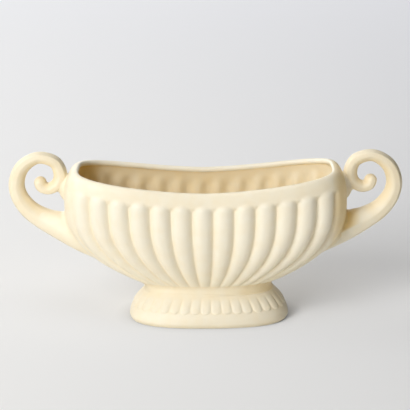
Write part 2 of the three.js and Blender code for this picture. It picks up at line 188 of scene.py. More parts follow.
class VaseFootSizes(bpy.types.PropertyGroup):
    """The foot: a round band under a reeded cove"""

    height: bpy.props.FloatProperty(
        name="Height", description="From the floor to the slip under the bowl", default=0.0284,
        unit="LENGTH", precision=4)
    half_length: bpy.props.FloatProperty(
        name="Half length", description="Half of the foot's length on the floor", default=0.0653,
        unit="LENGTH", precision=4)
    half_depth: bpy.props.FloatProperty(
        name="Half depth", description="Half of the foot's depth on the floor", default=0.038,
        unit="LENGTH", precision=4)
    squareness: bpy.props.FloatProperty(
        name="Squareness", description="How square the foot's oval is", default=2.65)
    shift: bpy.props.FloatProperty(
        name="Shift", description="How far the foot stands towards the right handle", default=0.0022,
        unit="LENGTH", precision=4)
    band_height: bpy.props.FloatProperty(
        name="Band height", description="Height of the plain round band", default=0.0116,
        unit="LENGTH", precision=4)
    band_bulge: bpy.props.FloatProperty(
        name="Band bulge", description="How far the band stands out over the floor line", default=0.0021,
        unit="LENGTH", precision=4)
    ring_width: bpy.props.FloatProperty(
        name="Foot ring", description="Width of the bare ring that it stands on", default=0.007,
        unit="LENGTH", precision=4)
    deck: bpy.props.FloatProperty(
        name="Deck", description="Thickness over the hollow underside", default=0.0064,
        unit="LENGTH", precision=4)
    hollow_draw: bpy.props.FloatProperty(
        name="Hollow draw", description="How far the hollow draws in towards its ceiling", default=0.011,
        unit="LENGTH", precision=4)
    reed_count: bpy.props.IntProperty(name="Reeds", description="Reeds round the whole foot", default=38)
    reed_height: bpy.props.FloatProperty(
        name="Reed height", description="How far a reed stands off the cove", default=0.0009,
        unit="LENGTH", precision=4)
    reed_length: bpy.props.FloatProperty(
        name="Reed length", description="Length of a reed up the cove", default=0.012,
        unit="LENGTH", precision=4)
    reed_shift: bpy.props.FloatProperty(
        name="Reed shift", description="Where the first reed stands, in reeds from the right end",
        default=0.2)
    reed_width: bpy.props.FloatProperty(
        name="Reed width", description="Share of the reeds' pitch that one takes", default=0.96,
        subtype="FACTOR")


class VaseHandleSizes(bpy.types.PropertyGroup):
    """The scroll handles"""

    reach: bpy.props.FloatProperty(
        name="Reach", description="How far the scroll reaches out from the bowl", default=0.047,
        unit="LENGTH", precision=4)
    height: bpy.props.FloatProperty(
        name="Height", description="Height of the scroll", default=0.079, unit="LENGTH", precision=4)
    rise: bpy.props.FloatProperty(
        name="Rise", description="How far the scroll rises over the rim's ends", default=0.014,
        unit="LENGTH", precision=4)
    half_width: bpy.props.FloatProperty(
        name="Strap half width", description="Half of the strap's width, seen from the front",
        default=0.0068, unit="LENGTH", precision=4)
    half_depth: bpy.props.FloatProperty(
        name="Strap half depth", description="Half of the strap's depth from front to back",
        default=0.0074, unit="LENGTH", precision=4)
    fillet: bpy.props.FloatProperty(
        name="Slip fillet", description="How far the slip under the rim is smoothed out", default=0.006,
        unit="LENGTH", precision=4)


# Colours


def colour(code):
    """An sRGB hex colour as linear red, green, blue and full cover."""
    shares = [int(code[i:i + 2], 16) / 255 for i in (1, 3, 5)]
    return [s / 12.92 if s <= 0.04045 else ((s + 0.055) / 1.055) ** 2.4 for s in shares] + [1.0]


class VaseFinish(bpy.types.PropertyGroup):
    """Glaze, clay and stage colours"""

    cream: bpy.props.FloatVectorProperty(
        name="Cream glaze", description="Where the glaze lies even", subtype="COLOR", size=4, min=0, max=1,
        default=colour("#F4EDDA"))
    # The pooled colour is also the colour of painted shade, in corners, inside and at the right end.
    pooled_and_shaded: bpy.props.FloatVectorProperty(
        name="Pooled glaze", description="Where the glaze has run thick into a corner", subtype="COLOR",
        size=4, min=0, max=1, default=colour("#EDCE86"))
    biscuit: bpy.props.FloatVectorProperty(
        name="Bare clay", description="The wiped foot ring", subtype="COLOR", size=4, min=0, max=1,
        default=colour("#E9DFCB"))
    floor: bpy.props.FloatVectorProperty(
        name="Floor", description="The backdrop paper as the camera sees it", subtype="COLOR", size=4,
        min=0, max=1, default=colour("#B9B9B9"))
    paper: bpy.props.FloatVectorProperty(
        name="Paper", description="The backdrop paper as it lights the vase", subtype="COLOR", size=4,
        min=0, max=1, default=colour("#F3EFE6"))
    near_left_glow: bpy.props.FloatVectorProperty(
        name="Glow, near left", description="Even light of the paper in front, on the left",
        subtype="COLOR", size=4, min=0, max=1, default=colour("#B1AFAB"))
    near_right_glow: bpy.props.FloatVectorProperty(
        name="Glow, near right", description="Even light of the paper in front, on the right",
        subtype="COLOR", size=4, min=0, max=1, default=colour("#7C7C7C"))
    far_left_glow: bpy.props.FloatVectorProperty(
        name="Glow, far left", description="Even light of the paper far back, on the left",
        subtype="COLOR", size=4, min=0, max=1, default=colour("#C4C5C8"))
    far_right_glow: bpy.props.FloatVectorProperty(
        name="Glow, far right", description="Even light of the paper far back, on the right",
        subtype="COLOR", size=4, min=0, max=1, default=colour("#B5B6BB"))
    glaze_roughness: bpy.props.FloatProperty(
        name="Glaze roughness", description="0.3 is satin, 0.6 is matt", default=0.5, subtype="FACTOR")


# Small helpers


def mix(a, b, share):
    """A value between a and b."""
    return a + (b - a) * share


def steps(start, stop, count):
    """Even steps from start up to, and without, stop."""
    return [mix(start, stop, i / count) for i in range(count)]


def smooth(value):
    """Eases from 0 to 1 while the value goes from 0 to 1."""
    u = min(1.0, max(0.0, value))
    return u * u * (3 - 2 * u)


def superellipse(angle, squareness):
    """A point of the unit superellipse in the direction of an angle."""
    c = math.cos(angle)
    s = math.sin(angle)
    reach = (abs(c) ** squareness + abs(s) ** squareness) ** (-1 / squareness)
    return c * reach, s * reach


def even_angles(half_length, half_depth, squareness, shares):
    """The angles at which an oval's edge has run the given shares of the way round."""
    samples = 2880
    angles = [0.0]
    lengths = [0.0]
    last = superellipse(0, squareness)
    for i in range(1, samples + 1):
        angle = i / samples * 2 * math.pi
        place = superellipse(angle, squareness)
        step = math.hypot((place[0] - last[0]) * half_length, (place[1] - last[1]) * half_depth)
        angles.append(angle)
        lengths.append(lengths[-1] + step)
        last = place
    found = []
    for share in shares:
        turns = math.floor(share)
        wanted = (share - turns) * lengths[-1]
        low, high = 0, samples
        while high - low > 1:
            half = (low + high) // 2
            if lengths[half] <= wanted:
                low = half
            else:
                high = half
        part = (wanted - lengths[low]) / (lengths[high] - lengths[low])
        found.append(mix(angles[low], angles[high], part) + turns * 2 * math.pi)
    return found


def spline_point(points, share, evenness):
    """A place on a smooth curve. The first and last points only steer it, and spacing follows the
    first two numbers of each point."""
    place = min(share * (len(points) - 3), len(points) - 3 - 1e-9)
    first = int(place)
    u = place - first
    a, b, c, d = points[first:first + 4]

    def span(p, q):
        return max(math.hypot(q[0] - p[0], q[1] - p[1]), 1e-9) ** evenness

    before, here, after = span(a, b), span(b, c), span(c, d)
    made = []
    for p, q, r, s in zip(a, b, c, d):
        start = ((q - p) / before - (r - p) / (before + here) + (r - q) / here) * here
        end = ((r - q) / here - (s - q) / (here + after) + (s - r) / after) * here
        square = 3 * (r - q) - 2 * start - end
        cube = 2 * (q - r) + start + end
        made.append(q + u * (start + u * (square + u * cube)))
    return made


def deselect():
    """Leaves edit mode and selects nothing."""
    if bpy.context.object and bpy.context.object.mode != "OBJECT":
        bpy.ops.object.mode_set(mode="OBJECT")
    bpy.ops.object.select_all(action="DESELECT")


def activate(piece):
    """Selects one piece alone, for the operators that follow."""
    deselect()
    piece.select_set(True)
    bpy.context.view_layer.objects.active = piece


def apply_modifier(piece, kind, **settings):
    """Adds a modifier with its settings and applies it."""
    activate(piece)
    modifier = piece.modifiers.new(kind.title(), kind)
    for name, value in settings.items():
        setattr(modifier, name, value)
    bpy.ops.object.modifier_apply(modifier=modifier.name)


def close_up(piece):
    """Merges a rolled sheet's seam and poles and turns its faces outwards."""
    activate(piece)
    bpy.ops.object.mode_set(mode="EDIT")
    bpy.ops.mesh.select_all(action="SELECT")
    bpy.ops.mesh.remove_doubles(threshold=SEAM)
    bpy.ops.mesh.normals_make_consistent(inside=False)
    bpy.ops.object.mode_set(mode="OBJECT")
    bpy.ops.object.shade_smooth()


def sheet(name, across, along, place):
    """A grid whose points are pulled to where place says, each with the pool of glaze and painted shade
    that it gives.
    """
    deselect()
    bpy.ops.mesh.primitive_grid_add(x_subdivisions=across, y_subdivisions=along, size=1)
    piece = bpy.context.object
    piece.name = name
    piece.data.name = name
    pool = piece.data.attributes.new("pool", "FLOAT", "POINT")
    for i, vertex in enumerate(piece.data.vertices):
        column = round((vertex.co.x + 0.5) * across)
        row = round((vertex.co.y + 0.5) * along)
        spot, depth = place(column, row)
        vertex.co = spot
        pool.data[i].value = depth
    close_up(piece)
    return piece


def join(name, pieces):
    """Joins pieces into the first one, under a new name."""
    deselect()
    for piece in pieces:
        piece.select_set(True)
    bpy.context.view_layer.objects.active = pieces[0]
    bpy.ops.object.join()
    pieces[0].name = name
    pieces[0].data.name = name
    return pieces[0]


def nearest(spots):
    """A search tree that finds the nearest of the given places."""
    tree = KDTree(len(spots))
    for i, spot in enumerate(spots):
        tree.insert(spot, i)
    tree.balance()
    return tree


def cut_at_wall(piece, bowl):
    """Cuts away what reaches further into the bowl than the middle of its wall."""
    core = bowl.block(bowl.wall / 2)
    apply_modifier(piece, "BOOLEAN", object=core, operation="DIFFERENCE", solver="EXACT")
    bpy.data.objects.remove(core, do_unlink=True)


def node_copy(name):
    """A merged copy of a CAD node, to work on."""
    deselect()
    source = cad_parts[name]
    copy = bpy.data.objects.new(name + "_work", source.data.copy())
    copy.matrix_world = source.matrix_world
    bpy.context.collection.objects.link(copy)
    activate(copy)
    bpy.ops.object.mode_set(mode="EDIT")
    bpy.ops.mesh.select_all(action="SELECT")
    bpy.ops.mesh.remove_doubles(threshold=SEAM)
    bpy.ops.object.mode_set(mode="OBJECT")
    copy.data.materials.clear()
    return copy


def dress(piece, material, slot, *nodes):
    """Gives a finished piece its material, hangs it under the root body and hides the CAD nodes given."""
    piece.data.materials.clear()
    piece.data.materials.append(material)
    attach(piece, "root")
    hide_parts(*nodes)


# Forms


class BowlForm:
    """The bowl's wall as a surface. A place on it is an angle round the oval and a level up the wall:
    0 is the waist, 1 the belly and 2 the crest of the lip."""

    def __init__(self, sizes):
        for name in VaseBowlSizes.__annotations__:
            setattr(self, name, getattr(sizes, name))
        # Columns crowd together beside the grooves. Each has its place across its own rib.
        per_rib = 14
        crowding = 0.1
        one_rib = [t - 0.5 - crowding * math.sin(2 * math.pi * t) for t in steps(0, 1, per_rib)]
        self.across = one_rib * self.rib_count
        self.shares = [
            (i // per_rib + across + self.rib_shift) / self.rib_count
            for i, across in enumerate(self.across)]
        self.rings = {}
        foot = bpy.context.scene.vase_foot
        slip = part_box("foot_slip_joint")
        self.waist_z = foot.height + (slip[1].z - slip[0].z)

    def line(self, middle, end, along):
        """Height of a line that dips half way along the bowl."""
        return middle + (end - middle) * abs(along) ** self.rim_sweep

    def oval(self, level):
        """The wall's plan at a level: half length, half depth, squareness, and how far it has dropped to
        the waist or climbed to the lip."""
        if level <= 1:
            drop = 1 - level
            draw = drop ** self.fullness
            return (
                mix(self.half_length, self.waist_half_length, draw),
                mix(self.half_depth, self.waist_half_depth, draw),
                mix(self.squareness, self.waist_squareness, drop), drop, 0.0)
        out, up = superellipse((level - 1) * math.pi / 2, self.collar_roundness)
        return (
            mix(self.rim_half_length, self.half_length, out),
            mix(self.rim_half_depth, self.half_depth, out),
            mix(self.squareness, self.rim_squareness, up), 0.0, up)

    def point(self, angle, level):
        """A point of the wall's mean surface."""
        half_length, half_depth, squareness, drop, climb = self.oval(level)
        x, y = superellipse(angle, squareness)
        belly_z = self.line(self.middle_z, self.end_z, superellipse(angle, self.squareness)[0])
        rim_z = self.line(self.rim_middle_z, self.rim_end_z, superellipse(angle, self.rim_squareness)[0])
        z = mix(mix(belly_z, rim_z, climb), self.waist_z, drop)
        return Vector((x * half_length, y * half_depth, z))

    def ring(self, level):
        """The columns' angles at a level, even along the edge there, so that a rib keeps its width."""
        if level not in self.rings:
            self.rings[level] = even_angles(*self.oval(level)[:3], self.shares)
        return self.rings[level]

    def normal(self, angle, level):
        """The way out of the wall at a place."""
        around = self.point(angle + STEP, level) - self.point(angle - STEP, level)
        low, high = max(level - STEP, 0), min(max(level + STEP, STEP), 2)
        return around.cross(self.point(angle, high) - self.point(angle, low)).normalized()

    def taper(self, level):
        """Ribs flatten faster than the bowl draws in, and run out to nothing just above the waist."""
        flattening = 1.6
        draw = min(1.0, self.oval(level)[0] / self.half_length)
        return draw ** flattening * smooth(level / self.rib_foot_fade)

    def collar_z(self, angle):
        """Height of the plain collar's lower edge."""
        along = superellipse(angle, self.rim_squareness)[0]
        return self.line(self.rim_middle_z, self.rim_end_z, along) - self.collar_height

    def rib_share(self, angle, across, z):
        """How much of a rib is left at a height: all of it on the wall, none on the plain collar. It
        fades over a shorter height beside a groove."""
        groove_fade = 0.7
        edge = (2 * across) ** 2
        fade = self.rib_fade * mix(1, groove_fade, edge)
        return smooth((self.collar_z(angle) - self.rib_arch * edge - z) / fade)

    def crown(self, across):
        """A rib's section: 0 in the groove, 1 on the crown."""
        soft = self.groove_softness
        from_groove = 1 - abs(2 * across)
        eased = (math.sqrt(from_groove ** 2 + soft ** 2) - soft) / (math.sqrt(1 + soft ** 2) - soft)
        return 1 - (1 - eased) ** self.rib_fullness

    def outside(self, column, level):
        """A point of the ribbed outside, and how much glaze pools there."""
        angle, across = self.ring(level)[column], self.across[column]
        spot = self.point(angle, level)
        wall = self.rib_share(angle, across, spot.z)
        share = wall * self.taper(level) * self.beside_handle(spot, level)
        crown = self.crown(across)
        rise = self.rib_height * (crown - self.rib_sink) * share
        # The crowns are paler, where the glaze thins and a highlight is painted on, and the grooves keep
        # the collar's tone. Glaze gathers at the waist, up to level 0.09, with painted shade under the
        # bowl's overhang.
        thin_and_lit_crown = 0.85 * wall * smooth(crown / 0.6)
        waist = WAIST_POOL_AND_SHADE * (1 - smooth(level / 0.09))
        pool = max(COLLAR_POOL * (1 - thin_and_lit_crown), waist, self.painted_end_shade(spot))
        return spot + self.normal(angle, level) * rise, pool

    def beside_handle(self, spot, level):
        """How much of a rib still stands out of the slip that is wiped over it beside a handle."""
        covered = 0.9
        start, run = RIB_WIPE[1 if spot.x > 0 else -1]
        along = abs(spot.x) / self.oval(level)[0]
        return 1 - covered * smooth((along - start) / run)

    def painted_end_shade(self, spot):
        """Painted shade on the bowl beside a handle, within the last 18 mm of the length, much deeper on
        the right end, which is turned from the light.
        """
        start, run = 0.1, 0.012
        return END_SHADE[1 if spot.x > 0 else -1] * smooth((abs(spot.x) - start) / run)

    def thickness(self, angle):
        """The wall's thickness, which is less close to the ends."""
        nearness = abs(superellipse(angle, 2)[0]) ** 6
        return mix(self.wall, self.end_wall, nearness)

    def inside(self, column, level):
        """A point of the inside, with a soft hollow behind each rib, and how much glaze pools there."""
        angle, across = self.ring(level)[column], self.across[column]
        spot = self.point(angle, level)
        # The hollows start 1.5 mm above the collar's lower edge and deepen over 13 mm.
        share = smooth((self.collar_z(angle) + 0.0015 - spot.z) / 0.013) * self.taper(level)
        # Half of their depth goes into the wall, and half stands out of it as ridges behind the grooves.
        section = 0.5 - smooth((abs(2 * across) - 0.05) / 0.9)
        hollow = self.hollow_depth * section * share
        # The inside is painted in shade, deepest under the lip, between levels 1.6 and 2, and at the left
        # end, which the light does not reach. It is painted lighter towards the right, where the light
        # falls in.
        under_lip_shade = smooth((level - 1.6) / 0.15) * (1 - smooth((level - 1.8) / 0.2))
        along = spot.x / self.half_length
        left_end_shade = smooth((-0.72 - along) / 0.2)
        lit_right = 0.2 * max(0, along)
        pool = INSIDE_SHADE - lit_right + UNDER_LIP_SHADE * under_lip_shade + LEFT_END_SHADE * left_end_shade
        return spot + self.normal(angle, level) * (hollow - self.thickness(angle)), pool

    def lip(self, column, turn):
        """The wall's rounded top. A turn of 0 is its crest and 1 is where it meets the inside."""
        angle = self.ring(2)[column]
        crest = self.point(angle, 2)
        ahead = self.point(angle + STEP, 2) - self.point(angle - STEP, 2)
        inward = Vector((-ahead.y, ahead.x, 0)).normalized()
        radius = self.thickness(angle) / 2
        crest.z += radius * (math.cos(turn * math.pi) - 1)
        # The crest is paler, where the glaze thins and a highlight is painted; painted shade deepens over
        # its inner side.
        return crest + inward * radius * math.sin(turn * math.pi), LIP_TONE_AND_SHADE * (1 + smooth(turn))

    def block(self, inset):
        """The bowl's mean surface as a plain closed block, drawn in by an inset."""
        columns = 144
        rows = 40

        def place(column, row):
            angle = column / columns * 2 * math.pi
            level = min(max((row - 1) / (rows - 2), 0), 1) * 2
            spot = self.point(angle, level) - self.normal(angle, level) * inset
            if row == 0:
                return Vector((0, 0, self.point(0, 0).z)), 0.0
            if row == rows:
                return Vector((0, 0, self.rim_middle_z)), 0.0
            return spot, 0.0

        return sheet("core", columns, rows, place)


class FootForm:
    """The foot's outside: a round band under a cove with reeds."""

    def __init__(self, sizes, waist_half_length):
        for name in VaseFootSizes.__annotations__:
            setattr(self, name, getattr(sizes, name))
        draw = self.half_length - waist_half_length
        rise = self.height - self.band_height
        band, bulge = self.band_height, self.band_bulge
        # Beyond the floor line and up: round the band, then in and up the cove to the waist.
        points = [
            (0, 0),
            (bulge, band * 0.26),
            (bulge * 0.6, band * 0.66),
            (-draw * 0.06, band),
            (-draw * 0.4, band + rise * 0.4),
            (-draw * 0.75, band + rise * 0.74),
            (-draw, self.height),
        ]
        steered = [points[0]] + points + [points[-1]]
        self.samples = [spline_point(steered, share, 0) for share in steps(0, 1, 400) + [1]]

    def edge(self, z):
        """How far the edge lies beyond the floor line at a height."""
        for low, high in zip(self.samples, self.samples[1:]):
            if high[1] >= z:
                return mix(low[0], high[0], (z - low[1]) / (high[1] - low[1]))
        return self.samples[-1][0]

    def oval(self, angle, outset, z):
        """A point of the foot's plan, an outset beyond the floor line, at a height."""
        x, y = superellipse(angle, self.squareness)
        return Vector((self.shift + x * (self.half_length + outset), y * (self.half_depth + outset), z))

    def reed(self, across, z):
        """A reed's section and length: a soft tongue with a round lower end that fades out upwards."""
        fullness = 2.6
        half = self.reed_width / 2
        side = 1 - min(1, abs(across) / half) ** fullness
        bend = 1 - math.sqrt(max(0, 1 - (across / half) ** 2))
        round_end = self.reed_length * 0.26 * bend
        # It steps out over 1.2 mm at its lower end and fades over three quarters of its length above.
        above = smooth((z - self.band_height - round_end) / 0.0012)
        top = self.band_height + self.reed_length * 1.1
        below = smooth((top - z) / (self.reed_length * 0.75))
        return self.reed_height * side * above * below

    def columns(self, per_reed):
        """The columns' angles, and each one's place across its own reed."""
        across = [t - 0.5 for t in steps(0, 1, per_reed)] * self.reed_count
        shares = [
            (i // per_reed + place + self.reed_shift) / self.reed_count for i, place in enumerate(across)]
        angles = even_angles(self.half_length, self.half_depth, self.squareness, shares)
        return list(zip(angles, across))


# A handle runs from the keel on the bowl's end out and up, over the top, back to the bowl and into the
# curl. On the keel: the level on the bowl's wall, then the stand-off as a share of the strap's half width,
# and the shares of its half width and half depth.
KEEL = [(0.2, -0.44, 0.735, 0.81), (0.34, 0.12, 1.1, 1.216), (0.47, 0.735, 1.545, 1.42)]

# On the free scroll: shares of the handle's reach and height, and of the strap's width and depth.
SCROLL = [
    (0.09, 0.18, 1.7, 1.5),
    (0.35, 0.25, 1.4, 1.34),
    (0.565, 0.327, 1.22, 1.22),
    (0.715, 0.417, 1.12, 1.12),
    (0.82, 0.525, 1.04, 1.05),
    (0.853, 0.665, 0.98, 1),
    (0.74, 0.832, 0.88, 0.95),
    (0.455, 0.932, 0.73, 0.9),
    (0.155, 0.877, 0.78, 0.86),
    (0.07, 0.744, 0.84, 0.86),
    (0.14, 0.64, 0.76, 0.84),
    (0.29, 0.595, 0.73, 0.84),
    (0.405, 0.622, 0.78, 0.84),
    (0.432, 0.66, 0.78, 0.84),
]

# Half of the strap's section from its outer edge to its inner edge, as shares of half width and depth:
# a steep outer flank, a crease, an even face up to a ridge along the middle, and a long inner flank.
STRAP_SECTION = [
    (1, 0), (0.98, 0.19), (0.9, 0.4), (0.81, 0.6), (0.73, 0.78), (0.66, 0.87), (0.56, 0.91),
    (0.38, 0.95), (0.16, 0.985), (0, 1), (-0.14, 0.97), (-0.42, 0.85), (-0.7, 0.68), (-0.9, 0.46),
    (-0.99, 0.2),
]


class HandleForm:
    """One handle's strap, on the right (side 1) or left (side -1) of the bowl."""

    def __init__(self, sizes, bowl, side):
        self.side = side
        stations = []
        for level, stand_off, width, depth in KEEL:
            centre = bowl.point(0, level) + bowl.normal(0, level) * sizes.half_width * (stand_off - width)
            stations.append((centre.x, centre.z, sizes.half_width * width, sizes.half_depth * depth))
        top = bowl.rim_end_z + sizes.rise
        for out, up, width, depth in SCROLL:
            stations.append((
                bowl.half_length + sizes.reach * out, top + sizes.height * (up - 1),
                sizes.half_width * width, sizes.half_depth * depth))

        def beyond(last, inner):
            return tuple(2 * a - b for a, b in zip(last, inner))

        before = beyond(stations[0], stations[1])
        after = beyond(stations[-1], stations[-2])
        self.stations = [before] + stations + [after]
        loop = STRAP_SECTION + [(out, -deep) for out, deep in reversed(STRAP_SECTION[1:])]
        closed = [loop[-1]] + loop + loop[:2]
        self.section = [spline_point(closed, share, 0.5) for share in steps(0, 1, 80)]

    def ring(self, share, end=0.0):
        """The strap's section at a share of its length. An end of 0 to 1 rounds off its tip."""
        x, z, half_width, half_depth = spline_point(self.stations, share, 0.5)
        ahead = spline_point(self.stations, min(share + STEP, 1), 0.5)
        behind = spline_point(self.stations, max(share - STEP, 0), 0.5)
        run, rise = ahead[0] - behind[0], ahead[1] - behind[1]
        length = math.hypot(run, rise)
        run, rise = run / length, rise / length
        forward = math.sin(end * math.pi / 2) * half_width
        shrink = math.cos(end * math.pi / 2)
        half_width *= shrink
        half_depth *= shrink
        x += run * forward
        z += rise * forward
        made = []
        for out, deep in self.section:
            off = out * half_width
            made.append(Vector((self.side * (x + rise * off), deep * half_depth, z - run * off)))
        return made

    def strap(self, name, start=0.0, stop=1.0, rows=200):
        """The strap as a closed solid between two shares of its length."""
        tips = 8 if stop == 1 else 0
        rings = [self.ring(mix(start, stop, i / rows)) for i in range(rows + 1)]
        rings += [self.ring(1, (i + 1) / tips) for i in range(tips)]
        first = sum(rings[0], Vector()) / len(rings[0])
        last = sum(rings[-1], Vector()) / len(rings[-1])
        rings = [[first] * len(rings[0])] + rings + [[last] * len(rings[0])]
        count = len(self.section)
        # The scroll's inner flank is a little deeper in tone. The keel is painted paler, a painted
        # highlight where the light falls on it.
        tones = [STRAP_POOL + INNER_FLANK_TONE * smooth((-out - 0.2) / 0.5) for out, deep in self.section]

        def place(column, row):
            column %= count
            # Painted highlight: the tone eases in from 10 % to 40 % of the rows, leaving the keel pale.
            return rings[row][column], tones[column] * smooth((row / rows - 0.1) / 0.3)

        return sheet(name, count, len(rings) - 1, place)


# Materials


def add(tree, kind, inputs=None, **settings):
    """Adds a node with its settings, its values and the links that lead into it."""
    made = tree.nodes.new(kind)
    for name, value in settings.items():
        setattr(made, name, value)
    for name, value in (inputs or {}).items():
        if isinstance(value, bpy.types.NodeSocket):
            tree.links.new(value, made.inputs[name])
        else:
            made.inputs[name].default_value = value
    return made


def new_material(name):
    """A material with an empty node tree."""
    material = bpy.data.materials.new(name)
    material.use_nodes = True
    material.node_tree.nodes.clear()
    return material


def cream_glaze(name, cream, pooled_and_shaded, roughness):
    """Matt lead-free earthenware glaze, sprayed over a white cast body and fired: opaque and even, a little
    deeper and warmer where it ran into grooves and corners, with the body's slight unevenness under it. The
    same deeper colour also paints shade in, where the pool attribute marks it."""
    material = new_material(name)
    tree = material.node_tree
    place = add(tree, "ShaderNodeTexCoord").outputs["Object"]
    # The pool attribute carries pooled glaze and painted shade, and is low where a highlight is painted.
    pool = add(tree, "ShaderNodeAttribute", attribute_name="pool").outputs["Fac"]
    # Clouds in the glaze's thickness, 9 mm across: 110 in a metre.
    clouds = add(tree, "ShaderNodeTexNoise", {"Vector": place, "Scale": 110.0, "Detail": 2.0})
    cloud_share = add(tree, "ShaderNodeMapRange", {
        "Value": clouds.outputs["Fac"], "From Min": 0.3, "From Max": 0.7, "To Min": -0.06, "To Max": 0.06})
    amount = add(tree, "ShaderNodeMath", {0: pool, 1: cloud_share.outputs["Result"]},
                 operation="ADD", use_clamp=True)
    tint = add(tree, "ShaderNodeMix", {
        "Factor": amount.outputs[0], "A": cream, "B": pooled_and_shaded}, data_type="RGBA")
    # The cast body under the glaze: soft waves 14 mm long, 70 in a metre, and a fine grain that is drawn
    # at 1.6 mm, 620 in a metre, so that it still shows.
    waves = add(tree, "ShaderNodeTexNoise", {"Vector": place, "Scale": 70.0, "Detail": 1.0})
    grain = add(tree, "ShaderNodeTexNoise", {"Vector": place, "Scale": 620.0, "Detail": 2.0})
    height = add(tree, "ShaderNodeMath", {
        0: grain.outputs["Fac"], 1: 0.04, 2: waves.outputs["Fac"]}, operation="MULTIPLY_ADD")
    bump = add(tree, "ShaderNodeBump", {"Height": height.outputs[0], "Strength": 0.35, "Distance": 0.0006})
    shader = add(tree, "ShaderNodeBsdfPrincipled", {
        "Base Color": tint.outputs["Result"], "Roughness": roughness, "IOR": 1.5,
        "Normal": bump.outputs["Normal"]})
    add(tree, "ShaderNodeOutputMaterial", {"Surface": shader.outputs["BSDF"]})
    return material


def bare_clay(clay):
    """Unglazed white earthenware, wiped clean and fired: chalky, with fine grog."""
    material = new_material("bare_earthenware")
    tree = material.node_tree
    place = add(tree, "ShaderNodeTexCoord").outputs["Object"]
    # Grains of grog 1.1 mm apart: 900 in a metre.
    grog = add(tree, "ShaderNodeTexNoise", {"Vector": place, "Scale": 900.0, "Detail": 3.0}).outputs["Fac"]
    darker = [c * 0.86 for c in clay[:3]] + [1.0]
    tint = add(tree, "ShaderNodeMix", {"Factor": grog, "A": clay, "B": darker}, data_type="RGBA")
    bump = add(tree, "ShaderNodeBump", {"Height": grog, "Strength": 0.4, "Distance": 0.0003})
    shader = add(tree, "ShaderNodeBsdfPrincipled", {
        "Base Color": tint.outputs["Result"], "Roughness": 0.9, "IOR": 1.5,
        "Normal": bump.outputs["Normal"]})
    add(tree, "ShaderNodeOutputMaterial", {"Surface": shader.outputs["BSDF"]})
    return material


def glaze_of(slot):
    """The glaze of a material slot, made once. Over the slip it is the same glaze."""
    finish = bpy.context.scene.vase_finish
    names = {"cream_glaze": "matt_cream_glaze", "glazed_slip": "matt_cream_glaze_over_slip"}
    found = bpy.data.materials.get(names[slot])
    return found or cream_glaze(names[slot], finish.cream, finish.pooled_and_shaded, finish.glaze_roughness)


# Operators


